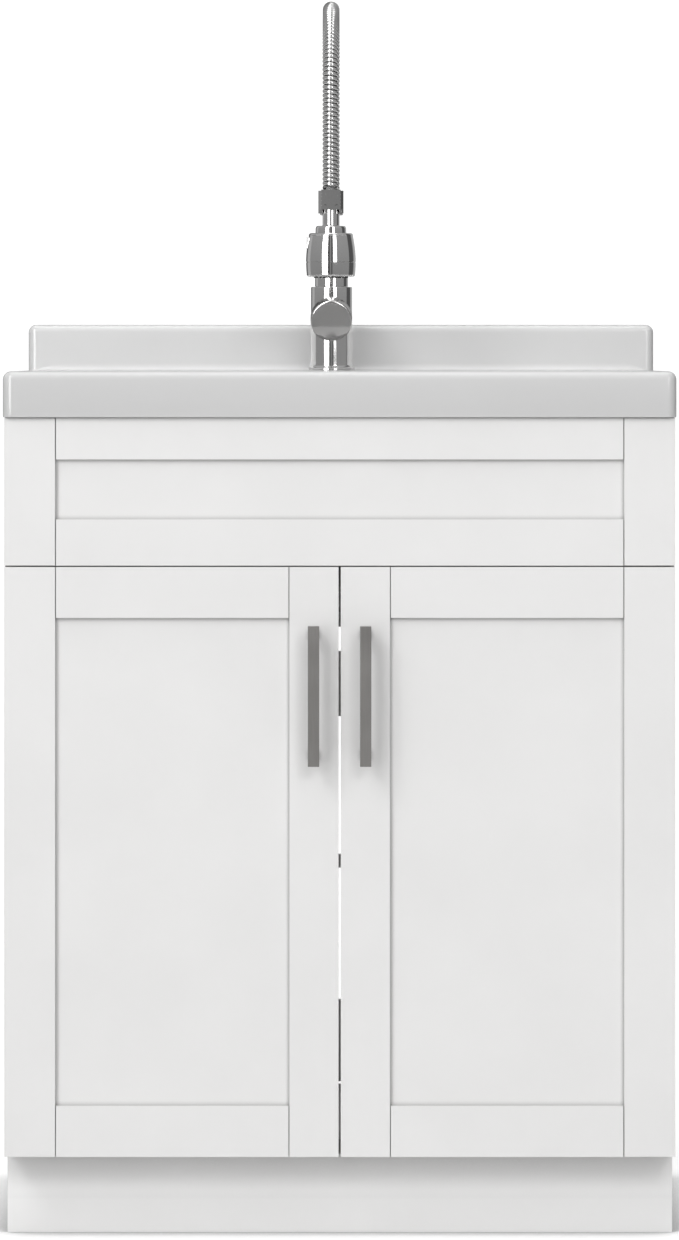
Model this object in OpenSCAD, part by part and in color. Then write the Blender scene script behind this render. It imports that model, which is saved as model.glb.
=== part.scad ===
// Laundry sink cabinet: a shaker base cabinet with two doors, a moulded sink with a
// backsplash, and a spring-neck faucet with a pull-down spray head.
// The doors face -Y, +Z is up, and the origin is on the floor under the middle of the part.

/* [Cabinet] */
// Width across the side panels
cab_w = 711; // [640:1:760]
// Height of the side panels, which is where the sink rests
cab_h = 872; // [860:1:900]
// Depth from the door faces to the back edge of the side panels
cab_d = 545; // [520:1:545]
// Thickness of the side and bottom panels
panel_t = 16; // [14:1:18]
// Height of the toe kick
toe_h = 88.6; // [80:0.1:96]
// Distance of the toe kick board behind the door faces
toe_inset = 65; // [55:1:75]
// Thickness of the back rails and of the toe kick board
rail_t = 15; // [12:1:18]

/* [Doors] */
// Thickness of the doors and of the false front
door_t = 18; // [17:1:20]
// Air between a closed door and the edge of the box
door_back_gap = 2; // [2:0.1:2.5]
// Height of a door
door_h = 625; // [600:1:630]
// Gap between the two doors
door_gap = 2.4; // [2:0.1:4]
// Width of the outer stiles and of the door rails
stile_w = 54; // [50:1:60]
// Width of the stiles that carry the handles
lock_stile_w = 52; // [48:1:58]
// How far the flat panels sit behind the frame faces
recess = 6.5; // [5:0.1:7]
// Thickness of the flat panels
panel_leaf = 6; // [5:0.1:6.5]

/* [False front] */
// Height of the top rail
ff_top_rail = 44; // [38:1:50]
// Height of the bottom rail
ff_bottom_rail = 49; // [42:1:54]

/* [Handles] */
// Side of the square bar
bar_w = 12; // [10:1:13]
// Length of the bar
bar_l = 148; // [140:1:170]
// Distance between the two posts
post_pitch = 128; // [96:1:128]
// How far the bar stands out from the door face
handle_reach = 34; // [30:1:38]
// Height of the middle of the bar
handle_z = 578; // [540:1:600]

/* [Sink] */
// Width of the sink rim
sink_w = 714; // [700:1:764]
// Depth of the sink from its front face to the back of the backsplash
sink_d = 559; // [559:1:570]
// How far the sink front stands out past the doors
sink_lap = 6; // [4:1:8]
// Height of the rim above the cabinet
apron_h = 49; // [44:1:56]
// Height of the backsplash above the rim
splash_h = 52; // [40:1:70]
// Thickness of the backsplash
splash_t = 22.5; // [18:0.5:24]
// Depth of the bowl below the rim
bowl_depth = 221; // [200:1:240]

/* [Faucet] */
// Distance of the faucet to the left of the middle
faucet_offset = 10.5; // [0:0.5:20]
// Diameter of the column
column_dia = 46.6; // [44:0.1:50]
// Height of the column above its base ring
column_h = 88.6; // [80:0.1:100]
// Radius of the spring arch
arch_r = 95; // [92:1:100]
// Outer diameter of the spring
spring_dia = 20; // [19:0.5:21]
// Height of the top of the spring above the floor
overall_h = 1335; // [1325:1:1360]
// Diameter of the knob
knob_dia = 47; // [42:1:48]

/* [Hidden] */
$fn = 64;
eps = 0.1;

// The plane of the door faces, with the part centred between handles and backsplash
front_y = handle_reach - (handle_reach + sink_d - sink_lap) / 2;
// The Y of a point that lies a depth d behind the door faces
function at(d) = front_y + d;
half_w = cab_w / 2;
inner_w = half_w - panel_t;
box_front = at(door_t + door_back_gap);
box_back = at(cab_d);
door_z0 = toe_h;
door_z1 = toe_h + door_h;
floor_z1 = toe_h + 0.4 + panel_t;

// False front
ff_z0 = door_z1 + 1.4;
ff_z1 = cab_h - 0.5;

// Back rails, each as its lower and upper height
top_back_z = [cab_h - 72, cab_h];
upper_back_z = [526, 600];
brace_z = [353, 368];
lower_back_z = [109, 202];

// Groove that holds a panel and the rail tenons
groove_d = 9;
tenon_l = 8;
groove_slack = 0.1;
panel_slack = 1;
// Width and depth of the line where a rail meets a stile
scribe = [1, 2.5];

// Hinge, measured from the door edge (u) and forward from the box edge (v)
hinge_u = 5.9;
hinge_v = 11.5;
cup_u = 20;
cup_r = 17.5;
cup_wall = 0.7;
cup_depth = 13;
cup_flange = [24, 1, 52];
hinge_pin_r = 1.1;
knuckle_r = 2.1;
knuckle_half = 3;
lug_z = [3.6, 8.6];
neck_t = 2;
neck_u = 17.5;
arm_half = 7;
arm_v = [-62, -5];
arm_u = [18, 24];
plate_u = 2;
plate_half = 24;
hinge_inset = 92;
hinge_zs = [door_z0 + hinge_inset, door_z1 - hinge_inset];
hinge_x = -half_w + hinge_u;
hinge_y = box_front - hinge_v;
cup_back = box_front - door_back_gap;

// Handle
handle_x = 27.5;
handle_zs = [handle_z - post_pitch / 2, handle_z + post_pitch / 2];
post_w = 10;
screw_r = 1.95;

// Bumper pads
bumper_x = 40;
bumper_zs = [toe_h + 8, door_z1 - 10];

// Sink
rim_z = cab_h + apron_h;
sink_front = at(-sink_lap);
sink_back = sink_front + sink_d;
rim_corner_r = 22;
rim_edge_r = 9;
deck_t = 8;
skirt_t = 12;
bowl_wall = 6;
bowl_top = [620, 395];
bowl_floor = [588, 363];
bowl_y = at(50) + bowl_top[1] / 2;
bowl_corner_r = 55;
bowl_edge_r = 42;
bowl_z = rim_z - bowl_depth;
drain_r = 44.5;
tail_z = rim_z - 280;
tail_r = 24;
deck_hole_r = 17.5;

// Faucet
fx = -faucet_offset;
fy = at(490);
column_r = column_dia / 2;
base_h = 6;
column_z0 = rim_z + base_h;
column_z1 = column_z0 + column_h;
shank_r = 13.9;
shank_z0 = rim_z - 66;
spigot_r = 15;
collar_r = 18.75;
collar_z = [column_z1 + 0.3, column_z1 + 14.4];
riser_r = 9;
riser_bore = 6.3;
clip_z = [rim_z + 174, rim_z + 200];
clip_w = 27.8;
plate_w = 21.4;
riser_z1 = clip_z[1] + 4;
arm_z = (clip_z[0] + clip_z[1]) / 2;
arm_r = 5;
reach = 2 * arch_r;
spring_r = spring_dia / 2;
spring_bore = 6;
arch_z = overall_h - arch_r - spring_r;
hose_r = 5.4;
hose_bore = 3.5;

// Spray head, which hangs in front on its own axis
barrel_z = [rim_z + 104, rim_z + 152];
barrel_r = 27.5;
shoulder_z1 = rim_z + 160;
spray_neck_r = 9.2;
cavity_r = 21;
button_z = rim_z + 141;
button_size = [8.5, 8, 13.4];
nozzle_rings = [[6, 6], [12, 11], [18, 17]];

// Knob, which swings about a point inside the boss of the column
knob_y = -38;
knob_z = rim_z + 63;
knob_pitch = 12;
boss_r = 20;
boss_y = -45;
boss_bore = 17;
dome_r = 16.5;
knob_a = [15, 37];
// How far below its centre the knob's face is cut back, and by how many degrees
knob_cut = [8, 15];
fork_x = [4.2, 6.7];
knob_pin_r = 1.5;

// A box between two opposite corners
module block(lo, hi) {
    translate(lo) cube(hi - lo);
}

// A flat rectangle with round corners, centred
module round_rect(w, d, r) {
    square([w - 2 * r, d], center = true);
    square([w, d - 2 * r], center = true);
    for (x = [-1, 1], y = [-1, 1])
        translate([x * (w / 2 - r), y * (d / 2 - r)]) circle(r);
}

// Puts a piece at the faucet's axis
module at_faucet() {
    translate([fx, fy, 0]) children();
}

// Puts a piece at the axis of the spray head
module at_spray() {
    translate([fx, fy - reach, 0]) children();
}

// Puts a piece at the knob's pivot, with its own Z along the knob's axis
module at_knob(pitch = 0) {
    translate([fx, fy + knob_y, knob_z]) rotate([90 + pitch, 0, 0]) children();
}

// Copies a left-hand piece to the right
module on_right() {
    mirror([1, 0, 0]) children();
}

// ---- Cabinet box ----

module side_panel() {
    difference() {
        block([-half_w, box_front, 0], [-inner_w, box_back, cab_h]);
        block([-half_w - 1, box_front - 1, -1], [-inner_w + 1, at(toe_inset + rail_t), toe_h]);
    }
}

module left_side_panel() {
    color("white") side_panel();
}

module right_side_panel() {
    color("white") on_right() side_panel();
}

module bottom_panel() {
    color("white") block([-inner_w, box_front, toe_h + 0.4], [inner_w, box_back, floor_z1]);
}

module toe_kick_board() {
    color("whitesmoke")
        block([-half_w, at(toe_inset), 0], [half_w, at(toe_inset + rail_t), toe_h]);
}

// The top rail reaches forward to the back of the false front, which is screwed to it
module top_front_rail() {
    color("white")
        block([-inner_w, at(door_t), cab_h - 72], [inner_w, box_front + 16, cab_h]);
}

module mid_front_rail() {
    color("white") block([-inner_w, box_front, 692], [inner_w, box_front + 16, 740]);
}

module back_rail(z) {
    color("white") block([-inner_w, box_back - rail_t, z[0]], [inner_w, box_back, z[1]]);
}

// The wall fixing holes go through the top back rail
module top_back_rail() {
    difference() {
        back_rail(top_back_z);
        for (x = [-240, 240])
            translate([x, box_back + 1, cab_h - 40]) rotate([90, 0, 0])
                cylinder(r = 3.5, h = rail_t + 2);
    }
}

module upper_back_rail() {
    back_rail(upper_back_z);
}

module back_brace() {
    back_rail(brace_z);
}

module lower_back_rail() {
    back_rail(lower_back_z);
}

// ---- Frames with flat panels ----

// The channel that the panel and the tenons sit in, between two opposite corners in X and Z
module groove(x, z) {
    block([x[0], at(recess - groove_slack), z[0]],
        [x[1], at(recess + panel_leaf + groove_slack), z[1]]);
}

// An upright, whose inner edge carries the groove; side is 1 for an edge towards +X
module stile(x, z, side) {
    edge = side > 0 ? [x[1] - groove_d, x[1] + 1] : [x[0] - 1, x[0] + groove_d];
    difference() {
        block([x[0], at(0), z[0]], [x[1], at(door_t), z[1]]);
        groove(edge, [z[0] - 1, z[1] + 1]);
    }
}

// A cross rail with a tenon and a scribed line at each end; side is 1 for a groove in its upper edge
module rail(x, z, side) {
    edge = side > 0 ? [z[1] - groove_d, z[1] + 1] : [z[0] - 1, z[0] + groove_d];
    solid = side > 0 ? [z[0], z[1] - groove_d] : [z[0] + groove_d, z[1]];
    difference() {
        block([x[0], at(0), z[0]], [x[1], at(door_t), z[1]]);
        groove([x[0] - 1, x[1] + 1], edge);
        for (end = x) block([end - scribe[0], at(-1), z[0] - 1], [end + scribe[0], at(scribe[1]), z[1] + 1]);
    }
    block([x[0] - tenon_l, at(recess), solid[0]], [x[1] + tenon_l, at(recess + panel_leaf), solid[1]]);
}

// A flat panel that reaches into the grooves around an opening
module leaf(x, z) {
    grip = groove_d - panel_slack;
    block([x[0] - grip, at(recess), z[0] - grip], [x[1] + grip, at(recess + panel_leaf), z[1] + grip]);
}

ff_x = half_w - stile_w;
ff_open = [ff_z0 + ff_bottom_rail, ff_z1 - ff_top_rail];

module false_front_stiles() {
    color("white") {
        stile([-half_w, -ff_x], [ff_z0, ff_z1], 1);
        stile([ff_x, half_w], [ff_z0, ff_z1], -1);
    }
}

module false_front_rails() {
    color("white") {
        rail([-ff_x, ff_x], [ff_open[1], ff_z1], -1);
        rail([-ff_x, ff_x], [ff_z0, ff_open[0]], 1);
    }
}

module false_front_panel() {
    color("white") leaf([-ff_x, ff_x], ff_open);
}

// The left door, from its hinge edge to its meeting edge; the right door is its mirror image
door_x = [-half_w, -door_gap / 2];
open_x = [door_x[0] + stile_w, door_x[1] - lock_stile_w];
open_z = [door_z0 + stile_w, door_z1 - stile_w];

module hinge_stile() {
    color("white") difference() {
        stile([door_x[0], open_x[0]], [door_z0, door_z1], 1);
        for (z = hinge_zs)
            translate([door_x[0] + cup_u, at(door_t) + 1, z]) rotate([90, 0, 0])
                cylinder(r = cup_r + 0.05, h = cup_depth + 1.05);
    }
}

module lock_stile() {
    color("white") difference() {
        stile([open_x[1], door_x[1]], [door_z0, door_z1], -1);
        for (z = handle_zs)
            translate([-handle_x, at(door_t) + 1, z]) rotate([90, 0, 0])
                cylinder(r = 2.2, h = door_t + 2);
    }
}

module door_top_rail() {
    color("white") rail(open_x, [open_z[1], door_z1], -1);
}

module door_bottom_rail() {
    color("white") rail(open_x, [door_z0, open_z[0]], 1);
}

module door_panel() {
    color("white") leaf(open_x, open_z);
}

// ---- Handles ----

module handle() {
    color("gray") difference() {
        union() {
            block([-handle_x - bar_w / 2, at(-handle_reach), handle_z - bar_l / 2],
                [-handle_x + bar_w / 2, at(bar_w - handle_reach), handle_z + bar_l / 2]);
            for (z = handle_zs)
                block([-handle_x - post_w / 2, at(bar_w - handle_reach) - eps, z - post_w / 2],
                    [-handle_x + post_w / 2, at(0), z + post_w / 2]);
        }
        for (z = handle_zs)
            translate([-handle_x, at(1), z]) rotate([90, 0, 0]) cylinder(r = 2, h = 16);
    }
}

module handle_screws() {
    color("silver") for (z = handle_zs) translate([-handle_x, at(door_t), z]) rotate([90, 0, 0]) {
        cylinder(r = screw_r, h = door_t + 14);
        translate([0, 0, -2.2]) cylinder(r = 4, h = 2.2);
    }
}

// ---- Hinges, in the left door's place ----

// A plan point of the hinge, from the door edge and the box edge
function hp(u, v) = [-half_w + u, box_front - v];

module hinge_rect(u, v, h) {
    translate([0, 0, -h]) linear_extrude(2 * h)
        polygon([hp(u[0], v[0]), hp(u[1], v[0]), hp(u[1], v[1]), hp(u[0], v[1])]);
}

// The pressed cup in the door's back, with its flange
module cup_shell() {
    difference() {
        union() {
            translate([-half_w + cup_u, cup_back, 0]) rotate([90, 0, 0])
                cylinder(r = cup_r, h = cup_depth);
            translate([-half_w + cup_u - cup_r, cup_back, -cup_flange[2] / 2]) cube(cup_flange);
        }
        translate([-half_w + cup_u, cup_back + 2, 0]) rotate([90, 0, 0])
            cylinder(r = cup_r - cup_wall, h = cup_depth + 2 - cup_wall);
    }
}

// The two lugs inside the cup that hold the ends of the pin
module cup_lugs() {
    intersection() {
        for (s = [-1, 1]) translate([0, 0, s * (lug_z[0] + lug_z[1]) / 2])
            hinge_rect([2, 8.4], [9, 14.6], (lug_z[1] - lug_z[0]) / 2);
        translate([-half_w + cup_u, cup_back, 0]) rotate([90, 0, 0])
            cylinder(r = cup_r - cup_wall / 2, h = cup_depth);
    }
}

module hinge_cup() {
    difference() {
        union() {
            cup_shell();
            cup_lugs();
        }
        translate([hinge_x, hinge_y, -lug_z[1] - eps])
            cylinder(r = hinge_pin_r + 0.02, h = 2 * (lug_z[1] + eps));
    }
}

module hinge_cups() {
    color("silver") for (z = hinge_zs) translate([0, 0, z]) hinge_cup();
}

module hinge_pins() {
    color("dimgray") for (z = hinge_zs)
        translate([hinge_x, hinge_y, z - lug_z[1]]) cylinder(r = hinge_pin_r, h = 2 * lug_z[1]);
}

// The arm bends round the door's edge, so that the door can swing past the side panel
module hinge_arm() {
    difference() {
        union() {
            translate([hinge_x, hinge_y, -knuckle_half]) cylinder(r = knuckle_r, h = 2 * knuckle_half);
            hinge_rect([hinge_u, neck_u + neck_t], [hinge_v - 1, hinge_v - 1 + neck_t], knuckle_half);
            hinge_rect([neck_u, neck_u + neck_t], [arm_v[1] - 1, hinge_v + 1], knuckle_half);
            hinge_rect(arm_u, arm_v, arm_half);
        }
        translate([hinge_x, hinge_y, -20]) cylinder(r = hinge_pin_r + 0.06, h = 40);
        for (v = [-18, -48]) translate([-half_w, box_front - v, 0]) rotate([0, 90, 0])
            cylinder(r = 2.6, h = 40);
    }
}

module hinge_plate() {
    difference() {
        union() {
            hinge_rect([panel_t, panel_t + plate_u], [-52, -14], plate_half);
            hinge_rect([panel_t, panel_t + plate_u], [-66, -8], arm_half);
        }
        for (s = [-1, 1]) translate([-half_w, box_front + 33, s * 16]) rotate([0, 90, 0])
            cylinder(r = 2.6, h = 40);
    }
}

module both_sides_hinges() {
    for (z = hinge_zs) translate([0, 0, z]) {
        children();
        on_right() children();
    }
}

module hinge_arms() {
    color("silver") both_sides_hinges() hinge_arm();
}

module hinge_plates() {
    color("lightgray") both_sides_hinges() hinge_plate();
}

// The two screws of each plate
module hinge_screws() {
    color("silver") both_sides_hinges() for (s = [-1, 1])
        translate([-half_w + panel_t, box_front + 33, s * 16]) rotate([0, 90, 0]) {
            cylinder(r = 2.5, h = plate_u);
            translate([0, 0, plate_u]) cylinder(r1 = 4, r2 = 3.2, h = 1.6);
        }
}

module door_bumpers() {
    color("gainsboro") for (x = [-bumper_x, bumper_x], z = bumper_zs)
        translate([x, box_front, z]) rotate([90, 0, 0]) cylinder(r = 4, h = 1.6);
}

// ---- Sink ----

// One corner of the rim, with its rounded upper edge
module rim_corner(r, h) {
    cylinder(r = r, h = h - rim_edge_r, $fn = 32);
    translate([0, 0, h - rim_edge_r]) rotate_extrude($fn = 32)
        translate([r - rim_edge_r, 0]) circle(rim_edge_r, $fn = 32);
}

// The back corners are as sharp as the ends of the backsplash that stands on them
module rim_block() {
    back_r = splash_t / 2;
    hull() for (x = [-1, 1]) {
        translate([x * (sink_w / 2 - rim_corner_r), sink_front + rim_corner_r, cab_h])
            rim_corner(rim_corner_r, apron_h);
        translate([x * (sink_w / 2 - back_r), sink_back - back_r, cab_h]) rim_corner(back_r, apron_h);
    }
}

module splash_block() {
    hull() for (x = [-1, 1], z = [0, 1]) translate([x * (sink_w / 2 - splash_t / 2),
        sink_back - splash_t / 2, rim_z - 20 + z * (splash_h + 20 - splash_t / 2)])
        sphere(splash_t / 2, $fn = 32);
}

// The bowl's shape, grown by a wall thickness; it narrows towards a rounded floor
module bowl_shape(grow, top) {
    r = bowl_edge_r + grow;
    hull() for (x = [-1, 1], y = [-1, 1]) {
        translate([x * (bowl_top[0] / 2 - bowl_corner_r), y * (bowl_top[1] / 2 - bowl_corner_r), top])
            cylinder(r = bowl_corner_r + grow, h = eps, $fn = 32);
        translate([x * (bowl_floor[0] / 2 - bowl_edge_r), y * (bowl_floor[1] / 2 - bowl_edge_r),
            bowl_z + bowl_edge_r]) sphere(r, $fn = 32);
        translate([x * (bowl_floor[0] / 2 - bowl_edge_r), y * (bowl_floor[1] / 2 - bowl_edge_r),
            bowl_z - grow]) cylinder(r = 4, h = eps, $fn = 32);
    }
}

module sink_basin() {
    color("white") difference() {
        union() {
            difference() {
                rim_block();
                translate([0, (sink_front + sink_back) / 2, cab_h - 1])
                    linear_extrude(apron_h - deck_t + 1)
                        round_rect(sink_w - 2 * skirt_t, sink_d - 2 * skirt_t, 12);
            }
            splash_block();
            translate([0, bowl_y, 0]) bowl_shape(bowl_wall, rim_z - deck_t / 2);
        }
        translate([0, bowl_y, 0]) bowl_shape(0, rim_z + 1);
        translate([0, bowl_y, bowl_z - 20]) cylinder(r = drain_r, h = 40);
        translate([fx, fy, rim_z - 30]) cylinder(r = deck_hole_r, h = 40);
    }
}

// ---- Strainer ----

module strainer_body() {
    color("silver") translate([0, bowl_y, 0]) rotate_extrude() polygon([
        [56, bowl_z], [54, bowl_z + 2], [42, bowl_z + 1], [40, bowl_z - 34], [tail_r - 3, bowl_z - 40],
        [tail_r - 3, tail_z], [tail_r, tail_z], [tail_r, bowl_z - 43], [44, bowl_z - 36], [44, bowl_z]]);
}

module strainer_gasket() {
    color("black") translate([0, bowl_y, bowl_z - bowl_wall - 3]) difference() {
        cylinder(r = 56, h = 3);
        translate([0, 0, -1]) cylinder(r = 44.1, h = 5);
    }
}

module strainer_nut() {
    color("lightgray") translate([0, bowl_y, bowl_z - bowl_wall - 15]) difference() {
        union() {
            cylinder(r = 56, h = 12);
            for (a = [0 : 45 : 315]) rotate(a) translate([54, -5, 0]) cube([7, 10, 12]);
        }
        translate([0, 0, -1]) cylinder(r = 44.1, h = 14);
    }
}

// The lift-out basket, with rings of holes in its floor and a grip on top
module strainer_basket() {
    color("silver") translate([0, bowl_y, bowl_z]) difference() {
        rotate_extrude() polygon([
            [0, 12], [9, 12], [10, 10], [10, 8], [3, 6], [3, -23], [31.5, -23], [36, 2.9],
            [46, 2.9], [46, 1.8], [38.5, 1.6], [33.5, -25], [0, -25]]);
        for (a = [0 : 30 : 330]) rotate(a) translate([26, 0, -30]) cylinder(r = 2.5, h = 20);
        for (a = [15 : 45 : 330]) rotate(a) translate([17, 0, -30]) cylinder(r = 2.5, h = 20);
    }
}

// ---- Faucet column ----

module faucet_base_ring() {
    color("silver") at_faucet() rotate_extrude() polygon([
        [shank_r + 0.3, rim_z], [26, rim_z], [26, rim_z + 2], [24.4, rim_z + 4.5],
        [24.4, column_z0], [shank_r + 0.3, column_z0]]);
}

module faucet_column() {
    color("silver") at_faucet() difference() {
        union() {
            translate([0, 0, column_z0]) cylinder(r = column_r, h = column_h);
            translate([0, 0, column_z1 - eps]) cylinder(r = spigot_r, h = 8.4);
            translate([0, 0, knob_z]) rotate([90, 0, 0]) cylinder(r = boss_r, h = -boss_y);
        }
        translate([0, 14, knob_z]) rotate([90, 0, 0]) cylinder(r = boss_bore, h = 14 - boss_y + 1);
        translate([0, 0, column_z0 - 1]) cylinder(r = shank_r + 0.05, h = 11);
        translate([0, 0, column_z0]) cylinder(r = 5, h = 200);
    }
}

module mixing_cartridge() {
    color("whitesmoke") at_faucet() difference() {
        translate([0, 13.9, knob_z]) rotate([90, 0, 0]) cylinder(r = boss_bore - 0.05, h = 37.9);
        translate([0, -10, knob_z]) rotate([90, 0, 0]) cylinder(r = 5.05, h = 20);
    }
}

// The threaded tube under the deck, with one socket for each supply hose
module faucet_shank() {
    color("goldenrod") at_faucet() difference() {
        translate([0, 0, shank_z0]) cylinder(r = shank_r, h = column_z0 + 9.9 - shank_z0);
        for (x = [-6.2, 6.2]) translate([x, 0, shank_z0 - 1]) cylinder(r = 4.7, h = 16);
        translate([0, 0, shank_z0 + 14.9]) cylinder(r = 8, h = 200);
    }
}

module mounting_nut() {
    z = rim_z - deck_t;
    color("goldenrod") at_faucet() {
        difference() {
            translate([0, 0, z - 2]) cylinder(r = 28, h = 2);
            translate([0, 0, z - 3]) cylinder(r = shank_r + 0.3, h = 5);
        }
        difference() {
            translate([0, 0, z - 14]) cylinder(r = 23, h = 12, $fn = 6);
            translate([0, 0, z - 15]) cylinder(r = shank_r + 0.05, h = 14);
        }
    }
}

// ---- Spout, which swivels on the column ----

module spout_collar() {
    color("silver") at_faucet() difference() {
        translate([0, 0, collar_z[0]]) cylinder(r = collar_r, h = collar_z[1] - collar_z[0]);
        translate([0, 0, collar_z[0] - 1]) cylinder(r = spigot_r + 0.06, h = 9.6);
        translate([0, 0, collar_z[0]]) cylinder(r = 6.05, h = 40);
        for (a = [-40, 40]) rotate(a) translate([0, 1 - collar_r + 1.5, collar_z[0] + 10.6])
            rotate([90, 0, 0]) cylinder(r = 1.5, h = 6);
    }
}

module riser_tube() {
    color("silver") at_faucet() translate([0, 0, collar_z[1]]) difference() {
        cylinder(r = riser_r, h = riser_z1 - collar_z[1]);
        translate([0, 0, -1]) cylinder(r = riser_bore, h = 200);
    }
}

// The arm clamps on the riser and carries the dock
module holder_arm() {
    color("silver") at_faucet() difference() {
        union() {
            translate([0, 0, clip_z[0] + 2]) cylinder(r = 13, h = clip_z[1] - clip_z[0] - 2);
            translate([0, 0, arm_z]) rotate([90, 0, 0]) cylinder(r = arm_r, h = reach - 12);
        }
        translate([0, 0, clip_z[0]]) cylinder(r = riser_r + 0.05, h = 60);
    }
}

// The folded dock that the neck of the spray head sits in; its side flanges hang lower than its front
module dock_clip() {
    h = clip_z[1] - clip_z[0];
    color("silver") at_spray() translate([0, 0, clip_z[0]]) difference() {
        linear_extrude(h) clip_outline(clip_w / 2, 12, plate_w / 2, 13.2);
        for (z = [-h + 4, 9]) translate([0, 0, z]) linear_extrude(h)
            clip_outline(clip_w / 2 - 1.5, 10.5, plate_w / 2 - 0.8, 11.7);
        block([1.5 - clip_w / 2, -20, -1], [clip_w / 2 - 1.5, -10, 4]);
        for (s = [-1, 1]) translate([s * (plate_w / 2 + 10), 0, h]) cube([20, 60, 2.4], center = true);
        translate([0, 0, -1]) cylinder(r = spray_neck_r + 0.3, h = 60);
        for (x = [-6.3, 6.3]) translate([x, -8, 8.2]) rotate([90, 0, 0]) cylinder(r = 1.4, h = 10);
        for (x = [-6, 6]) translate([x, -12.6, 20.6]) rotate([90, 0, 0]) cylinder(r = 1.3, h = 2);
    }
}

// Plan of the dock: half width, back, half width of the front plate and front
module clip_outline(w, back, front_w, front) {
    polygon([[-w, back], [w, back], [w, 4 - front], [front_w, -front], [-front_w, -front], [-w, 4 - front]]);
}

// A tube along the arch, with its front leg down to front_z and its back leg down to back_z
module arched_tube(r, front_z, back_z) {
    translate([0, -arch_r, arch_z]) rotate([90, 0, 90])
        rotate_extrude(angle = 180) translate([arch_r, 0]) circle(r);
    translate([0, 0, back_z]) cylinder(r = r, h = arch_z - back_z);
    translate([0, -reach, front_z]) cylinder(r = r, h = arch_z - front_z);
}

module neck_spring() {
    color("lightsteelblue") at_faucet() difference() {
        arched_tube(spring_r, clip_z[1], riser_z1);
        arched_tube(spring_bore, clip_z[1] - 1, riser_z1 - 1);
    }
}

module spray_hose() {
    color("darkgray") at_faucet() difference() {
        arched_tube(hose_r, arch_z - 4, collar_z[1] - 5);
        arched_tube(hose_bore, arch_z - 5, collar_z[1] - 6);
    }
}

// ---- Spray head, which pulls down out of the dock ----

module hose_end() {
    color("darkgray") at_spray() difference() {
        translate([0, 0, clip_z[0]]) cylinder(r = hose_r, h = arch_z - 5 - clip_z[0]);
        translate([0, 0, clip_z[0] - 1]) cylinder(r = hose_bore, h = 200);
    }
}

module spray_neck() {
    color("silver") at_spray() difference() {
        rotate_extrude() polygon([
            [0, barrel_z[1]], [17, barrel_z[1]], [16.5, shoulder_z1 - 1.5], [14, shoulder_z1],
            [spray_neck_r, shoulder_z1], [spray_neck_r, clip_z[1] - 2], [0, clip_z[1] - 2]]);
        translate([0, 0, barrel_z[1] - 1]) cylinder(r = hose_bore, h = 100);
        translate([0, 0, clip_z[0]]) cylinder(r = hose_r + 0.05, h = 100);
    }
}

module spray_barrel() {
    color("silver") at_spray() difference() {
        rotate_extrude() polygon([
            [0, barrel_z[0] + 12], [cavity_r, barrel_z[0] + 12], [cavity_r, barrel_z[0]],
            [barrel_r - 3, barrel_z[0]], [barrel_r - 1.3, barrel_z[0] + 2],
            [barrel_r - 0.2, barrel_z[0] + 11], [barrel_r, barrel_z[0] + 18],
            [barrel_r - 0.6, barrel_z[0] + 27], [barrel_r - 1.8, barrel_z[0] + 38],
            [barrel_r - 2.6, barrel_z[1] - 2], [barrel_r - 5, barrel_z[1]], [0, barrel_z[1]]]);
        translate([0, 0, barrel_z[0]]) cylinder(r = hose_bore, h = 100);
        block([-40, -button_size[1] / 2 - 0.2, button_z - button_size[2] / 2 - 0.2],
            [-16, button_size[1] / 2 + 0.2, button_z + button_size[2] / 2 + 0.2]);
    }
}

// The face has rings of soft nozzles that stand a little below the barrel
module spray_face() {
    z = barrel_z[0] + 0.6;
    color("dimgray") at_spray() difference() {
        union() {
            translate([0, 0, z]) cylinder(r = cavity_r - 0.1, h = 11.3);
            for (ring = nozzle_rings, i = [1 : ring[1]])
                rotate(i * 360 / ring[1]) translate([ring[0], 0, z - 2]) cylinder(r = 1.1, h = 2 + eps);
        }
        translate([0, 0, z + 6]) cylinder(r = 17, h = 10);
        for (ring = nozzle_rings, i = [1 : ring[1]])
            rotate(i * 360 / ring[1]) translate([ring[0], 0, z - 3]) cylinder(r = 0.5, h = 12);
    }
}

module spray_button() {
    color("silver") at_spray()
        translate([-27.5, -button_size[1] / 2, button_z - button_size[2] / 2]) cube(button_size);
}

// ---- Knob ----

module knob_spindle() {
    color("goldenrod") at_knob() difference() {
        union() {
            translate([0, 0, -26]) cylinder(r = 5, h = 14);
            translate([0, 0, -13.5]) cylinder(r = 11, h = 4.5);
            for (s = [-1, 1]) translate([s * (fork_x[0] + fork_x[1]) / 2, 0, -3])
                cube([fork_x[1] - fork_x[0], 9, 14], center = true);
        }
        translate([-20, 0, 0]) rotate([0, 90, 0]) cylinder(r = knob_pin_r + 0.02, h = 40);
    }
}

module knob_pin() {
    color("dimgray") at_knob()
        translate([-fork_x[1], 0, 0]) rotate([0, 90, 0]) cylinder(r = knob_pin_r, h = 2 * fork_x[1]);
}

// The stem has an eye on the pin and a dome that closes the front of the boss
module knob_stem() {
    color("silver") at_knob(knob_pitch) difference() {
        union() {
            translate([-3.9, 0, 0]) rotate([0, 90, 0]) cylinder(r = 4, h = 7.8);
            cylinder(r = 3.9, h = 28);
            difference() {
                sphere(dome_r);
                sphere(dome_r - 1.6);
                translate([0, 0, -50]) cylinder(r = 30, h = 51);
            }
        }
        translate([-20, 0, 0]) rotate([0, 90, 0]) cylinder(r = knob_pin_r + 0.06, h = 40);
    }
}

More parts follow.
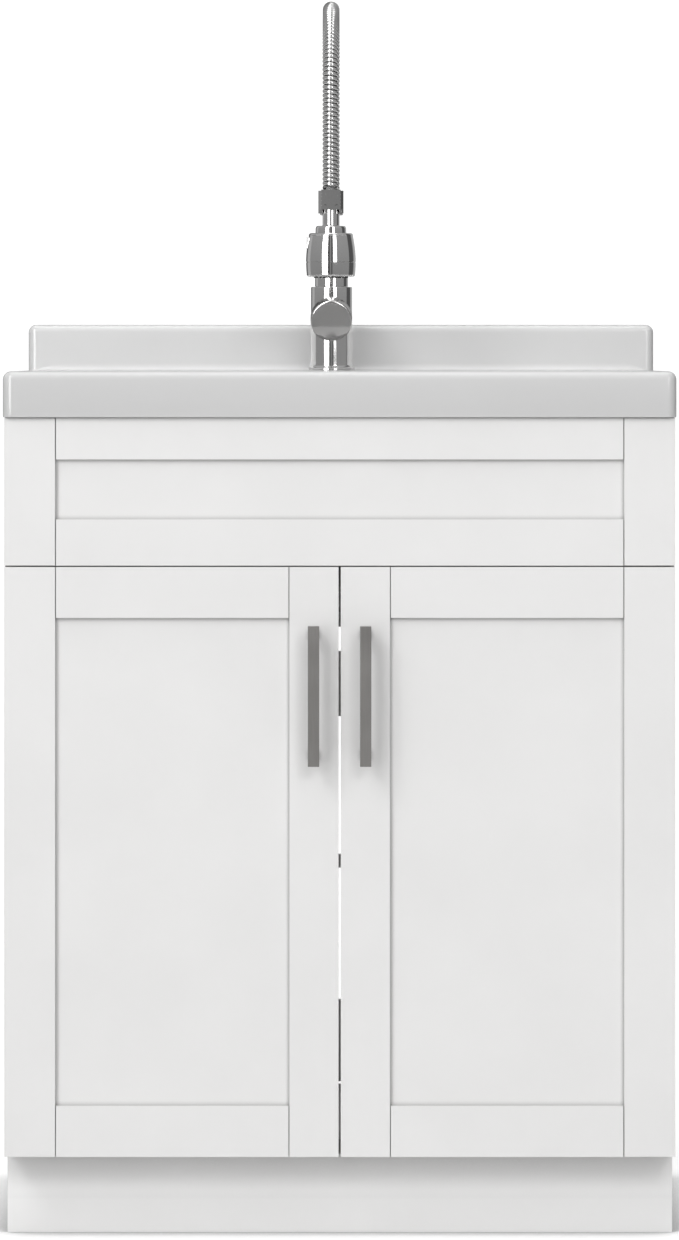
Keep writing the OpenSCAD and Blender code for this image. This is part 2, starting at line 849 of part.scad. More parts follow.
// The lower part of the knob's face is cut back as a place for the finger
module mixer_knob() {
    r = knob_dia / 2;
    color("gray") at_knob(knob_pitch) difference() {
        translate([0, 0, knob_a[0]]) cylinder(r = r, h = knob_a[1] - knob_a[0]);
        cylinder(r = 3.95, h = 28.1);
        sphere(dome_r + 0.1);
        translate([0, -knob_cut[0], knob_a[1]]) rotate([knob_cut[1], 0, 0])
            translate([-30, -40, 0]) cube([60, 40, 40]);
    }
}

left_side_panel();
right_side_panel();
bottom_panel();
toe_kick_board();
top_front_rail();
mid_front_rail();
top_back_rail();
upper_back_rail();
back_brace();
lower_back_rail();
false_front_stiles();
false_front_rails();
false_front_panel();
hinge_stile();  // left_hinge_stile
lock_stile();  // left_lock_stile
door_top_rail();  // left_top_rail
door_bottom_rail();  // left_bottom_rail
door_panel();  // left_door_panel
on_right() hinge_stile();  // right_hinge_stile
on_right() lock_stile();  // right_lock_stile
on_right() door_top_rail();  // right_top_rail
on_right() door_bottom_rail();  // right_bottom_rail
on_right() door_panel();  // right_door_panel
handle();  // left_handle
on_right() handle();  // right_handle
handle_screws();  // left_handle_screws
on_right() handle_screws();  // right_handle_screws
hinge_cups();  // left_hinge_cups
on_right() hinge_cups();  // right_hinge_cups
hinge_pins();  // left_hinge_pins
on_right() hinge_pins();  // right_hinge_pins
hinge_arms();
hinge_plates();
hinge_screws();
door_bumpers();
sink_basin();
strainer_body();
strainer_gasket();
strainer_nut();
strainer_basket();
faucet_base_ring();
faucet_column();
mixing_cartridge();
faucet_shank();
mounting_nut();
spout_collar();
riser_tube();
holder_arm();
dock_clip();
neck_spring();
spray_hose();
hose_end();
spray_neck();
spray_barrel();
spray_face();
spray_button();
knob_spindle();
knob_pin();
knob_stem();
mixer_knob();
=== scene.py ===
"""The looks of a laundry sink cabinet: painted shaker doors, moulded sink, spring-neck faucet.

Lengths are written in millimetres and turned into metres by MM when a mesh is made. The frame gives
every place: -Y is the front, +Z is up, and the origin is on the floor under the middle of the part.
"""

import math

import bpy
from mathutils import Matrix, Vector

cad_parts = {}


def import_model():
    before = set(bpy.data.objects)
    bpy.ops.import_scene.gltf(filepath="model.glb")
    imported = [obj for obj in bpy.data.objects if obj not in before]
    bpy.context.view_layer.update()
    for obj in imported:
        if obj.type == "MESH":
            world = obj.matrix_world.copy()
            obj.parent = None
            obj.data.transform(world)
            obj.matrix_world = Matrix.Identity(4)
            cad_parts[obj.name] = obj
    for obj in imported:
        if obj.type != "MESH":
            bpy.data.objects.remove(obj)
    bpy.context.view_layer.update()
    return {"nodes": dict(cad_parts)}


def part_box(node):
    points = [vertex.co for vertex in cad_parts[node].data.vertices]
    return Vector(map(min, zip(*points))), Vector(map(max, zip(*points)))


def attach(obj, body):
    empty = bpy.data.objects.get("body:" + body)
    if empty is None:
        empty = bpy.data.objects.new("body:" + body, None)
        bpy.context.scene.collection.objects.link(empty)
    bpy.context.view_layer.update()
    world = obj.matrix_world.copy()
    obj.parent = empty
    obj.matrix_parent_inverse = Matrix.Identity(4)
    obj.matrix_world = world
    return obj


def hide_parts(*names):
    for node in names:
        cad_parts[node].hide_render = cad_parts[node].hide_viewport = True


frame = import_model()
NODES = frame["nodes"]
MM = 0.001


def span(node):
    """The lowest and highest corner of a CAD node, in millimetres."""
    low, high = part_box(node)
    return low / MM, high / MM


def middle_of(node):
    low, high = span(node)
    return (low + high) / 2


# ---- Meshes ----


def new_mesh(name, points, faces, smooth_angle=35):
    """A mesh object from points in millimetres, smooth except across sharp edges."""
    mesh = bpy.data.meshes.new(name)
    mesh.from_pydata([Vector(p) * MM for p in points], [], faces)
    mesh.validate()
    obj = bpy.data.objects.new(name, mesh)
    bpy.context.scene.collection.objects.link(obj)
    shade(obj, smooth_angle)
    return obj


def shade(obj, angle):
    """Smooth shading that keeps edges sharper than the angle."""
    mesh = obj.data
    for polygon in mesh.polygons:
        polygon.use_smooth = True
    mesh.update()
    mesh.set_sharp_from_angle(angle=math.radians(angle))


def loft(rings, caps=(False, False)):
    """Points and quads between rings of equal length; caps close the first and the last ring."""
    count = len(rings[0])
    points = [p for ring in rings for p in ring]
    faces = []
    for i in range(len(rings) - 1):
        for j in range(count):
            k = (j + 1) % count
            faces.append((i * count + j, i * count + k, (i + 1) * count + k, (i + 1) * count + j))
    if caps[0]:
        faces.append(tuple(reversed(range(count))))
    if caps[1]:
        faces.append(tuple(range((len(rings) - 1) * count, len(rings) * count)))
    return points, faces


def block(name, low, high):
    """A plain box between two corners, as a start for bevels and cuts."""
    xs, ys, zs = zip(low, high)
    points = [(x, y, z) for z in zs for y in ys for x in xs]
    faces = [(0, 2, 3, 1), (4, 5, 7, 6), (0, 1, 5, 4), (2, 6, 7, 3), (0, 4, 6, 2), (1, 3, 7, 5)]
    return new_mesh(name, points, faces)


def bake(obj):
    """Puts the result of an object's modifiers into its mesh."""
    graph = bpy.context.evaluated_depsgraph_get()
    mesh = bpy.data.meshes.new_from_object(obj.evaluated_get(graph))
    obj.modifiers.clear()
    obj.data = mesh
    return obj


def combine(obj, others, operation, smooth_angle=30):
    """Adds other closed meshes to a mesh, or cuts them out of it, and removes them."""
    for other in others:
        modifier = obj.modifiers.new("Combine", "BOOLEAN")
        modifier.operation = operation
        modifier.object = other
        modifier.solver = "EXACT"
    bake(obj)
    for other in others:
        bpy.data.objects.remove(other)
    shade(obj, smooth_angle)
    return obj


def bevel(obj, width, segments=3, angle=30):
    """Rounds an object's sharp edges with a modifier."""
    modifier = obj.modifiers.new("Bevel", "BEVEL")
    modifier.width = width * MM
    modifier.segments = segments
    modifier.limit_method = "ANGLE"
    modifier.angle_limit = math.radians(angle)
    modifier.use_clamp_overlap = True
    modifier.harden_normals = True
    return modifier


def ease_edges(obj, width, segments=2):
    """Rounds the edges of a CAD node: its triangles are first joined into flat faces."""
    weld = obj.modifiers.new("Weld", "WELD")
    weld.merge_threshold = 0.00001
    flat = obj.modifiers.new("Flat", "DECIMATE")
    flat.decimate_type = "DISSOLVE"
    flat.angle_limit = math.radians(0.5)
    bevel(obj, width, segments)


def place(obj, body, material, replaces=()):
    """Hangs a finished piece on its body, with its material."""
    obj.data.materials.clear()
    obj.data.materials.append(material)
    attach(obj, body)
    if replaces:
        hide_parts(*replaces)
    return obj


# ---- Materials ----


def new_material(name):
    material = bpy.data.materials.new(name)
    material.use_nodes = True
    tree = material.node_tree
    tree.nodes.clear()
    shader = tree.nodes.new("ShaderNodeBsdfPrincipled")
    output = tree.nodes.new("ShaderNodeOutputMaterial")
    tree.links.new(shader.outputs["BSDF"], output.inputs["Surface"])
    return material, tree, shader


def add(tree, kind, inputs=None, **settings):
    """A node with its settings and with its inputs set or linked."""
    node = tree.nodes.new(kind)
    for key, value in settings.items():
        setattr(node, key, value)
    for key, value in (inputs or {}).items():
        if isinstance(value, bpy.types.NodeSocket):
            tree.links.new(value, node.inputs[key])
        else:
            node.inputs[key].default_value = value
    return node


def noise(tree, scale, detail=3.0, roughness=0.5, stretch=(1, 1, 1)):
    """Noise in the object's own space, per metre, stretched along an axis where asked."""
    place_node = add(tree, "ShaderNodeTexCoord")
    mapping = add(tree, "ShaderNodeMapping",
                  {"Vector": place_node.outputs["Object"], "Scale": stretch})
    return add(tree, "ShaderNodeTexNoise", {
        "Vector": mapping.outputs["Vector"], "Scale": scale,
        "Detail": detail, "Roughness": roughness,
    }).outputs["Fac"]


def ramp(tree, value, low, high, start=0.35, end=0.65):
    """Maps a value onto the range from low to high."""
    return add(tree, "ShaderNodeMapRange", {
        "Value": value, "From Min": start, "From Max": end, "To Min": low, "To Max": high,
    }).outputs["Result"]


def tint(tree, value, dark, light):
    """A colour between two colours."""
    mix = add(tree, "ShaderNodeMix", data_type="RGBA")
    tree.links.new(value, mix.inputs["Factor"])
    mix.inputs["A"].default_value = (*dark, 1)
    mix.inputs["B"].default_value = (*light, 1)
    return mix.outputs["Result"]


def bump(tree, shader, height, distance, strength=1.0, normal=None):
    inputs = {"Height": height, "Distance": distance, "Strength": strength}
    if normal is not None:
        inputs["Normal"] = normal
    node = add(tree, "ShaderNodeBump", inputs)
    tree.links.new(node.outputs["Normal"], shader.inputs["Normal"])
    return node.outputs["Normal"]


def grey(value, warm=0.0):
    return (value + warm, value, value - warm)


def painted_corner_shade(tree, colour, reach, depth, above=0):
    """Painted shade: darkens a colour in the corners between faces, by the share of near surface there.
    """
    near = add(tree, "ShaderNodeAmbientOcclusion", {"Distance": reach}, samples=6).outputs["AO"]
    # Where a height is given, no painted shade falls below it
    if above:
        place_node = add(tree, "ShaderNodeTexCoord")
        z = add(tree, "ShaderNodeSeparateXYZ",
                {"Vector": place_node.outputs["Object"]}).outputs["Z"]
        low = ramp(tree, z, 1, 0, above - 0.01, above + 0.01)
        near = add(tree, "ShaderNodeMath", {0: near, 1: low}, operation="MAXIMUM").outputs[0]
    shade_node = add(tree, "ShaderNodeMix", data_type="RGBA", blend_type="MULTIPLY")
    tree.links.new(ramp(tree, near, depth, 0, 0, 1), shade_node.inputs["Factor"])
    tree.links.new(colour, shade_node.inputs["A"])
    shade_node.inputs["B"].default_value = (0, 0, 0, 1)
    return shade_node.outputs["Result"]


def painted(name="white_paint", level=0.785, warm=0.004, reach=0.005, depth=0.6, above=0):
    """Sprayed satin paint on board: orange peel, faint roller clouds, painted shade in the corners."""
    material, tree, shader = new_material(name)
    cloud = noise(tree, 9.0, 4.0)
    peel = noise(tree, 420.0, 2.0)
    fibre = noise(tree, 60.0, 5.0, 0.6, (1, 1, 0.25))
    colour = tint(tree, ramp(tree, cloud, 0, 1),
                  grey(level - 0.012, warm), grey(level + 0.008, warm))
    # The base colour carries painted shade in the corners between faces
    tree.links.new(painted_corner_shade(tree, colour, reach, depth, above), shader.inputs["Base Color"])
    tree.links.new(ramp(tree, fibre, 0.36, 0.46), shader.inputs["Roughness"])
    shader.inputs["Specular IOR Level"].default_value = 0.42
    soft = bump(tree, shader, peel, 0.00012, 0.35)
    bump(tree, shader, fibre, 0.0001, 0.2, soft)
    return material


def moulded(name, level):
    """Glossy moulded sink: clear gloss over a faintly wavy white body."""
    material, tree, shader = new_material(name)
    cloud = noise(tree, 5.0, 3.0)
    wave = noise(tree, 14.0, 2.0)
    fine = noise(tree, 300.0, 2.0)
    colour = tint(tree, ramp(tree, cloud, 0, 1), grey(level - 0.008), grey(level + 0.008))
    tree.links.new(colour, shader.inputs["Base Color"])
    tree.links.new(ramp(tree, fine, 0.16, 0.22), shader.inputs["Roughness"])
    shader.inputs["Coat Weight"].default_value = 0.35
    shader.inputs["Coat Roughness"].default_value = 0.06
    soft = bump(tree, shader, wave, 0.0006, 0.25)
    bump(tree, shader, fine, 0.00003, 0.2, soft)
    return material


def metal(name, level, rough, warm=0.0, grain=None, bump_size=0.00002, spread=0.04, yellow=0.0):
    """Plated metal, with smudges in its gloss and, where asked, a brushed grain along an axis."""
    material, tree, shader = new_material(name)
    smudge = noise(tree, 35.0, 4.0)
    fine = noise(tree, 900.0, 2.0, 0.5, grain or (1, 1, 1))
    shades = [(r, g * (1 - yellow / 3), b * (1 - yellow))
              for r, g, b in (grey(level * 0.95, warm), grey(level, warm))]
    tree.links.new(tint(tree, ramp(tree, fine, 0, 1), *shades), shader.inputs["Base Color"])
    shader.inputs["Metallic"].default_value = 1.0
    tree.links.new(ramp(tree, smudge, rough, rough + spread), shader.inputs["Roughness"])
    bump(tree, shader, fine, bump_size, 0.25)
    return material


def plastic(name, colour, rough, spread=0.06, bump_size=0.00008, scale=500.0):
    """Moulded plastic or rubber with a fine spark texture."""
    material, tree, shader = new_material(name)
    cloud = noise(tree, 20.0, 3.0)
    fine = noise(tree, scale, 2.0)
    dark = tuple(c * 0.93 for c in colour)
    tree.links.new(tint(tree, ramp(tree, cloud, 0, 1), dark, colour), shader.inputs["Base Color"])
    tree.links.new(ramp(tree, fine, rough, rough + spread), shader.inputs["Roughness"])
    bump(tree, shader, fine, bump_size, 0.3)
    return material


def braided(name="grey_hose"):
    """A braided hose sleeve: two crossing waves along and around the tube."""
    material, tree, shader = new_material(name)
    where = add(tree, "ShaderNodeTexCoord").outputs["Object"]
    waves = [
        add(tree, "ShaderNodeTexWave", {"Vector": add(tree, "ShaderNodeMapping", {
            "Vector": where, "Rotation": (0, turn, 0)}).outputs["Vector"], "Scale": 220.0},
            bands_direction="X").outputs["Fac"]
        for turn in (0.8, -0.8)
    ]
    braid = add(tree, "ShaderNodeMath", {0: waves[0], 1: waves[1]}, operation="MAXIMUM").outputs[0]
    tree.links.new(tint(tree, braid, grey(0.12), grey(0.34)), shader.inputs["Base Color"])
    tree.links.new(ramp(tree, braid, 0.42, 0.6, 0, 1), shader.inputs["Roughness"])
    bump(tree, shader, braid, 0.0003, 0.5)
    return material


# White board, with painted shade reaching 5 mm into its corners and gaps
PAINT = painted()
# Toe board: painted shade up to 45 mm from near surfaces, as under the doors' overhang, none in its
# lowest 45 mm
TOE_PAINT = painted("toe_paint", 0.92, 0.004, 0.045, 0.6, 0.045)
SINK = moulded("white_sink", 0.62)
NICKEL = metal("satin_nickel", 0.26, 0.34, 0.008, (1, 1, 0.04), 0.00004)
ZINC = metal("zinc_steel", 0.62, 0.28, 0.0)
STEEL = metal("nickel_steel", 0.60, 0.22, 0.006)
CHROME = metal("chrome", 0.84, 0.035, 0.003)
TURNED = metal("brushed_knob", 0.74, 0.14, 0.006, (1, 0.05, 1), 0.00003)
WIRE = metal("spring_steel", 0.80, 0.09, 0.002)
STAINLESS = metal("strainer_steel", 0.62, 0.18, 0.002)
BRASS = metal("brass", 0.72, 0.22, yellow=0.55)
CLEAR = plastic("clear_bumper", grey(0.72), 0.12)
RUBBER = plastic("black_rubber", grey(0.03), 0.6)
NUT_PLASTIC = plastic("grey_plastic", grey(0.66), 0.4)
WHITE_PLASTIC = plastic("white_plastic", (0.78, 0.78, 0.74), 0.35)
NOZZLE = plastic("dark_rubber", grey(0.06), 0.45)
HOSE = braided()


# ---- Camera, floor and light ----

DOOR_FACE = span("left_lock_stile")[0].y
EYE_HEIGHT = 935
EYE_DISTANCE = 6800
EYE_X = 18.7
PHOTO_H = 1240
SCALE_AT_DOORS = 0.944
SENSOR = 24.0


def camera():
    data = bpy.data.cameras.new("camera")
    data.sensor_width = SENSOR
    data.lens = SENSOR * SCALE_AT_DOORS * EYE_DISTANCE / PHOTO_H
    data.shift_x = -0.01436
    data.shift_y = -0.2113
    data.clip_end = 60
    obj = bpy.data.objects.new("camera", data)
    obj.location = Vector((EYE_X, DOOR_FACE - EYE_DISTANCE, EYE_HEIGHT)) * MM
    obj.rotation_euler = (math.radians(90), 0, 0)
    bpy.context.scene.collection.objects.link(obj)
    bpy.context.scene.camera = obj


def floor():
    """A pale floor, which glows a little for the camera so it is brighter than it is as a reflector,
    with a painted contact shadow where other surfaces are near.
    """
    size = 3200
    corners = [(-size, -size, 0), (size, -size, 0), (size, size, 0), (-size, size, 0)]
    obj = new_mesh("floor", corners, [(0, 1, 2, 3)])
    material, tree, shader = new_material("floor_paint")
    cloud = noise(tree, 1.5, 2.0)
    colour = tint(tree, ramp(tree, cloud, 0, 1), grey(0.70), grey(0.72))
    # Painted contact shadow: the floor's colour darkens near the cabinet
    tree.links.new(painted_corner_shade(tree, colour, 0.07, 0.8), shader.inputs["Base Color"])
    shader.inputs["Roughness"].default_value = 0.8
    shader.inputs["Emission Color"].default_value = (1, 1, 1, 1)
    # The glow seen by the camera fades out near the cabinet too, the same painted contact shadow
    near = add(tree, "ShaderNodeAmbientOcclusion", {"Distance": 0.07}, samples=8).outputs["AO"]
    camera_ray = add(tree, "ShaderNodeLightPath").outputs["Is Camera Ray"]
    lift = add(tree, "ShaderNodeMath", {0: camera_ray, 1: ramp(tree, near, 0, 0.62, 0.35, 1)},
               operation="MULTIPLY").outputs[0]
    tree.links.new(lift, shader.inputs["Emission Strength"])
    obj.data.materials.append(material)


def area_light(name, where, target, size, power, in_reflections=False):
    """A soft box at a point, in metres, that faces a target."""
    data = bpy.data.lights.new(name, "AREA")
    data.shape = "RECTANGLE"
    data.size, data.size_y = size
    data.energy = power
    obj = bpy.data.objects.new(name, data)
    obj.location = where
    obj.rotation_euler = (Vector(target) - Vector(where)).to_track_quat("-Z", "Y").to_euler()
    obj.visible_glossy = in_reflections
    bpy.context.scene.collection.objects.link(obj)
    return obj


# The studio's soft boxes as (middle and half width in degrees from the front, to the right;
# lowest and highest slope; brightness as a light and in reflections)
SOFT_BOXES = [(-28, 12, -0.25, 0.85, 2.6, 6), (20, 7, 0.0075, 0.62, 2.3, 4),
              (0, 181, 0.96, 1.1, 0.42, 2.2),
              (152, 14, -0.2, 0.9, 0.7, 0.45), (-125, 12, -0.2, 0.9, 0.6, 0.45)]
# Dark stretches of the studio's wall, in the same terms
DARK_FLAGS = [(-10, 4, 0.06), (4, 3, 0.12), (112, 16, 0.09), (-160, 12, 0.08)]


def world():
    """White behind the part for the camera, and a grey studio with soft boxes for reflections."""
    data = bpy.data.worlds.new("studio")
    bpy.context.scene.world = data
    data.use_nodes = True
    tree = data.node_tree
    tree.nodes.clear()

    def math_node(operation, a, b=0.0):
        return add(tree, "ShaderNodeMath", {0: a, 1: b}, operation=operation).outputs[0]

    def near(value, middle, half, soft):
        """1 inside a band and 0 outside it, with a soft border."""
        away = math_node("ABSOLUTE", math_node("SUBTRACT", value, middle))
        return add(tree, "ShaderNodeMapRange", {
            "Value": away, "From Min": half + soft, "From Max": half, "To Min": 0, "To Max": 1,
        }).outputs["Result"]

    path = add(tree, "ShaderNodeLightPath").outputs
    where = add(tree, "ShaderNodeTexCoord").outputs["Generated"]
    x, y, z = add(tree, "ShaderNodeSeparateXYZ", {"Vector": where}).outputs
    bearing = math_node("DEGREES", math_node("ARCTAN2", x, math_node("MULTIPLY", y, -1.0)))
    wall = add(tree, "ShaderNodeMapRange", {
        "Value": z, "From Min": -0.35, "From Max": 0.9,
        "To Min": 0.22, "To Max": 0.42}).outputs["Result"]
    for middle, half, level in DARK_FLAGS:
        mask = math_node("MULTIPLY", near(bearing, middle, half, 2), near(z, 0.1, 0.55, 0.2))
        wall = add(tree, "ShaderNodeMix", {"Factor": mask, "A": wall, "B": level}).outputs["Result"]
    for middle, half, low, high, level, mirrored in SOFT_BOXES:
        tall = near(z, (low + high) / 2, (high - low) / 2, 0.004)
        mask = math_node("MULTIPLY", near(bearing, middle, half, 1.0), tall)
        seen = math_node("ADD", math_node("MULTIPLY", path["Is Glossy Ray"], mirrored - level),
                         level)
        wall = add(tree, "ShaderNodeMix", {"Factor": mask, "A": wall, "B": seen}).outputs["Result"]
    studio = add(tree, "ShaderNodeBackground", {"Color": (1, 1, 1, 1), "Strength": wall})
    white = add(tree, "ShaderNodeBackground", {"Color": (1, 1, 1, 1), "Strength": 1.1})
    mix = add(tree, "ShaderNodeMixShader", {
        0: path["Is Camera Ray"], 1: studio.outputs[0], 2: white.outputs[0]})
    output = add(tree, "ShaderNodeOutputWorld")
    tree.links.new(mix.outputs[0], output.inputs["Surface"])


def lights():
    centre = (0, 0, 0.6)
    area_light("overhead", (-0.3, -1.2, 4.0), (0, 0, 0.5), (2.6, 2.0), 20)
    area_light("key_left", (-2.3, -2.9, 3.1), centre, (0.9, 0.9), 24)
    area_light("front", (1.2, -5.4, 2.8), centre, (2.0, 1.2), 50)
    area_light("sink_light", (-0.1, -0.15, 2.3), (0, 0.28, 0.95), (1.4, 0.4), 6.5)


# ---- Cabinet ----

PAINTED = {
    0.6: ["left_side_panel", "right_side_panel", "bottom_panel", "top_front_rail", "mid_front_rail",
          "top_back_rail", "upper_back_rail", "back_brace", "lower_back_rail"],
    0.45: ["false_front_stiles", "false_front_rails"]
         + [f"{side}_{part}" for side in ("left", "right")
            for part in ("hinge_stile", "lock_stile", "top_rail", "bottom_rail")],
    0: ["false_front_panel", "left_door_panel", "right_door_panel"],
}


def finish_node(node, material, edge=0.0, segments=2):
    """Gives a CAD node its material and, where asked, eased edges."""
    obj = NODES[node]
    obj.data.materials.clear()
    obj.data.materials.append(material)
    if edge:
        ease_edges(obj, edge, segments)
    return obj


def cabinet():
    for edge, nodes in PAINTED.items():
        for node in nodes:
            finish_node(node, PAINT, edge)
    finish_node("toe_kick_board", TOE_PAINT, 0.6)
    for side in ("left", "right"):
        finish_node(f"{side}_handle", NICKEL, 0.7, 3)
        finish_node(f"{side}_handle_screws", ZINC)
        finish_node(f"{side}_hinge_cups", STEEL)
        finish_node(f"{side}_hinge_pins", ZINC)
    finish_node("hinge_arms", STEEL)
    finish_node("hinge_plates", STEEL, 0.3)
    finish_node("hinge_screws", ZINC)
    finish_node("door_bumpers", CLEAR)


# ---- Sink ----

RIM_EDGE = 9
# Tighter than the 22 mm front corner of the solid it stands for
FRONT_CORNER = 10
SKIRT = 12
DECK = 8
BOWL_WALL = 6
LIP = 8
BOWL_TOP = (620, 395, 55)
BOWL_FLOOR = (588, 363, 42)
COVE = 8
SPLASH_T = 22.5
SPLASH_HALF = 357
DRAIN_R = 44.5


def rounded_rect(centre, half, z, front_r, back_r=None, steps=10):
    """A ring of points, anticlockwise from above, with its own radii at the front and the back."""
    back_r = front_r if back_r is None else back_r
    ring = []
    for sx, sy, first in ((-1, -1, 180), (1, -1, 270), (1, 1, 0), (-1, 1, 90)):
        r = max(front_r if sy < 0 else back_r, 0.4)
        x = centre[0] + sx * (half[0] - r)
        y = centre[1] + sy * (half[1] - r)
        for k in range(steps + 1):
            angle = math.radians(first + 90 * k / steps)
            ring.append((x + r * math.cos(angle), y + r * math.sin(angle), z))
    return ring


def quarter(steps=8):
    """The angles of a quarter turn."""
    return [math.pi / 2 * k / steps for k in range(steps + 1)]


def sink_shell(low, high, rim_z, back_r):
    """The rim, the skirt and the bowl as one closed sheet of rings."""
    middle = (0, (low.y + high.y) / 2)
    half = (high.x, (high.y - low.y) / 2)
    bowl_centre = (0, middle_of("strainer_body").y)
    bowl_z = span("strainer_gasket")[1].z + BOWL_WALL

    def skirt(inset, z):
        size = (half[0] - inset, half[1] - inset)
        return rounded_rect(middle, size, z, FRONT_CORNER - inset, back_r - inset)

    def bowl(grow, z):
        size = (BOWL_TOP[0] / 2 + grow, BOWL_TOP[1] / 2 + grow)
        return rounded_rect(bowl_centre, size, z, BOWL_TOP[2] + grow)

    def basin(radius, angle):
        """A ring on the rounded edge of the floor; the radius is larger on the underside."""
        inner = (BOWL_FLOOR[0] / 2 - BOWL_FLOOR[2], BOWL_FLOOR[1] / 2 - BOWL_FLOOR[2])
        reach = radius * math.cos(angle)
        size = (inner[0] + reach, inner[1] + reach)
        return rounded_rect(bowl_centre, size,
                            bowl_z + BOWL_FLOOR[2] - radius * math.sin(angle), reach)

    def drain(radius, z):
        return rounded_rect(bowl_centre, (radius, radius), z, radius - 0.05)

    rings = [skirt(SKIRT, low.z), skirt(1.2, low.z), skirt(0.3, low.z + 0.4), skirt(0, low.z + 1.4)]
    for a in quarter():
        rings.append(skirt(RIM_EDGE * (1 - math.cos(a)), rim_z - RIM_EDGE + RIM_EDGE * math.sin(a)))
    for a in quarter():
        rings.append(bowl(LIP * (1 - math.sin(a)), rim_z - LIP + LIP * math.cos(a)))
    rings += [basin(BOWL_FLOOR[2], a) for a in quarter()]
    rings += [drain(64, bowl_z), drain(DRAIN_R + 1, bowl_z), drain(DRAIN_R, bowl_z - 1),
              drain(DRAIN_R, bowl_z - BOWL_WALL), drain(64, bowl_z - BOWL_WALL)]
    rings += [basin(BOWL_FLOOR[2] + BOWL_WALL, a) for a in reversed(quarter())]
    rings += [bowl(BOWL_WALL, rim_z - DECK), skirt(SKIRT, rim_z - DECK), rings[0]]
    points, faces = loft(rings[:-1])
    count = len(rings[0])
    last = (len(rings) - 2) * count
    for j in range(count):
        k = (j + 1) % count
        faces.append((last + j, last + k, k, j))
    return new_mesh("sink", points, faces, 32)


def backsplash(low, high, rim_z):
    """The upright slab, with its ends and its top edge rounded."""
    middle = (0, high.y - SPLASH_T / 2)
    half = (SPLASH_HALF, SPLASH_T / 2)
    rings = [rounded_rect(middle, half, rim_z - 5, RIM_EDGE)]
    for a in quarter():
        inset = RIM_EDGE * (1 - math.cos(a))
        size = (half[0] - inset, half[1] - inset)
        z = high.z - RIM_EDGE + RIM_EDGE * math.sin(a)
        rings.append(rounded_rect(middle, size, z, RIM_EDGE - inset))
    points, faces = loft(rings, caps=(True, True))
    return new_mesh("splash", points, faces, 32)


def cove(high, rim_z):
    """The hollow corner between the deck and the backsplash, which fades out near the ends."""
    face_y = high.y - SPLASH_T
    fade = 26
    rings = []
    stations = 8
    ends = [SPLASH_HALF - RIM_EDGE - fade * k / stations for k in range(stations + 1)]
    for x in [-e for e in ends] + list(reversed(ends)):
        share = min(1.0, (SPLASH_HALF - RIM_EDGE - abs(x)) / fade)
        r = 0.5 + (COVE - 0.5) * math.sin(share * math.pi / 2)
        line = [(x, face_y + 2, rim_z - 2), (x, face_y - r, rim_z - 2)]
        line += [(x, face_y - r + r * math.sin(a), rim_z + r - r * math.cos(a)) for a in quarter()]
        line += [(x, face_y + 2, rim_z + r)]
        rings.append(line)
    points, faces = loft(rings, caps=(True, True))
    return new_mesh("cove", points, faces, 32)


def sink():
    low, high = span("sink_basin")
    rim_z = span("faucet_base_ring")[0].z
    low = Vector((low.x, low.y, span("left_side_panel")[1].z))
    obj = sink_shell(low, high, rim_z, SPLASH_T / 2)
    combine(obj, [backsplash(low, high, rim_z), cove(high, rim_z)], "UNION", 32)
    hole = turned("hole", [(0, -30), (17.5, -30), (17.5, 30), (0, 30)], FAUCET @ shift(rim_z))
    combine(obj, [hole], "DIFFERENCE", 32)
    place(obj, "cabinet", SINK, ["sink_basin"])
    for node, material in (("strainer_body", STAINLESS), ("strainer_gasket", RUBBER),
                           ("strainer_nut", NUT_PLASTIC), ("strainer_basket", STAINLESS)):
        finish_node(node, material)


# ---- Faucet ----

def shift(z):
    return Matrix.Translation((0, 0, z))


FAUCET = Matrix.Translation((middle_of("faucet_base_ring").x, middle_of("faucet_base_ring").y, 0))
SPRAY = Matrix.Translation((middle_of("spray_face").x, middle_of("spray_face").y, 0))
ARCH_R = (FAUCET.translation.y - SPRAY.translation.y) / 2
KNOB_PITCH = 12
# Along the knob's own axis: its back and its front, the radius of each edge, and the cut across
# its face as a drop below the middle and a slope in degrees
KNOB_ENDS = (15, 37)
KNOB_EDGES = (1.2, 2.4)
KNOB_CUT = (6.8, 15)
STEM_R = 3.95
STEM_LENGTH = 28.1
DOME_R = 16.6


def turned(name, profile, axis, segments=96, smooth_angle=32):
    """A closed solid of revolution: a profile that ends on the axis is closed there."""
    count = segments
    points = []
    faces = []
    previous = None
    for r, z in profile:
        if r < 0.001:
            current = [len(points)]
            points.append(axis @ Vector((0, 0, z)))
        else:
            current = list(range(len(points), len(points) + count))
            for k in range(count):
                angle = 2 * math.pi * (k + 0.5) / count
                points.append(axis @ Vector((r * math.cos(angle), r * math.sin(angle), z)))
        if previous:
            faces += skin(previous, current)
        previous = current
    if profile[0][0] > 0.001:
        faces += skin(previous, list(range(count)))
    return new_mesh(name, points, faces, smooth_angle)


def skin(one, two):
    """Faces between two rings, either of which may be a single point; they face outwards."""
    count = max(len(one), len(two))
    faces = []
    for j in range(count):
        k = (j + 1) % count
        quad = [one[j % len(one)], one[k % len(one)], two[k % len(two)], two[j % len(two)]]
        unique = list(dict.fromkeys(quad))
        if len(unique) > 2:
            faces.append(tuple(unique))
    return faces


def arc(r, z, radius, start, stop, steps=6):
    """Points of (radius, z) round a centre, with the angles in degrees."""
    turn = [math.radians(start + (stop - start) * k / steps) for k in range(steps + 1)]
    return [(r + radius * math.cos(a), z + radius * math.sin(a)) for a in turn]


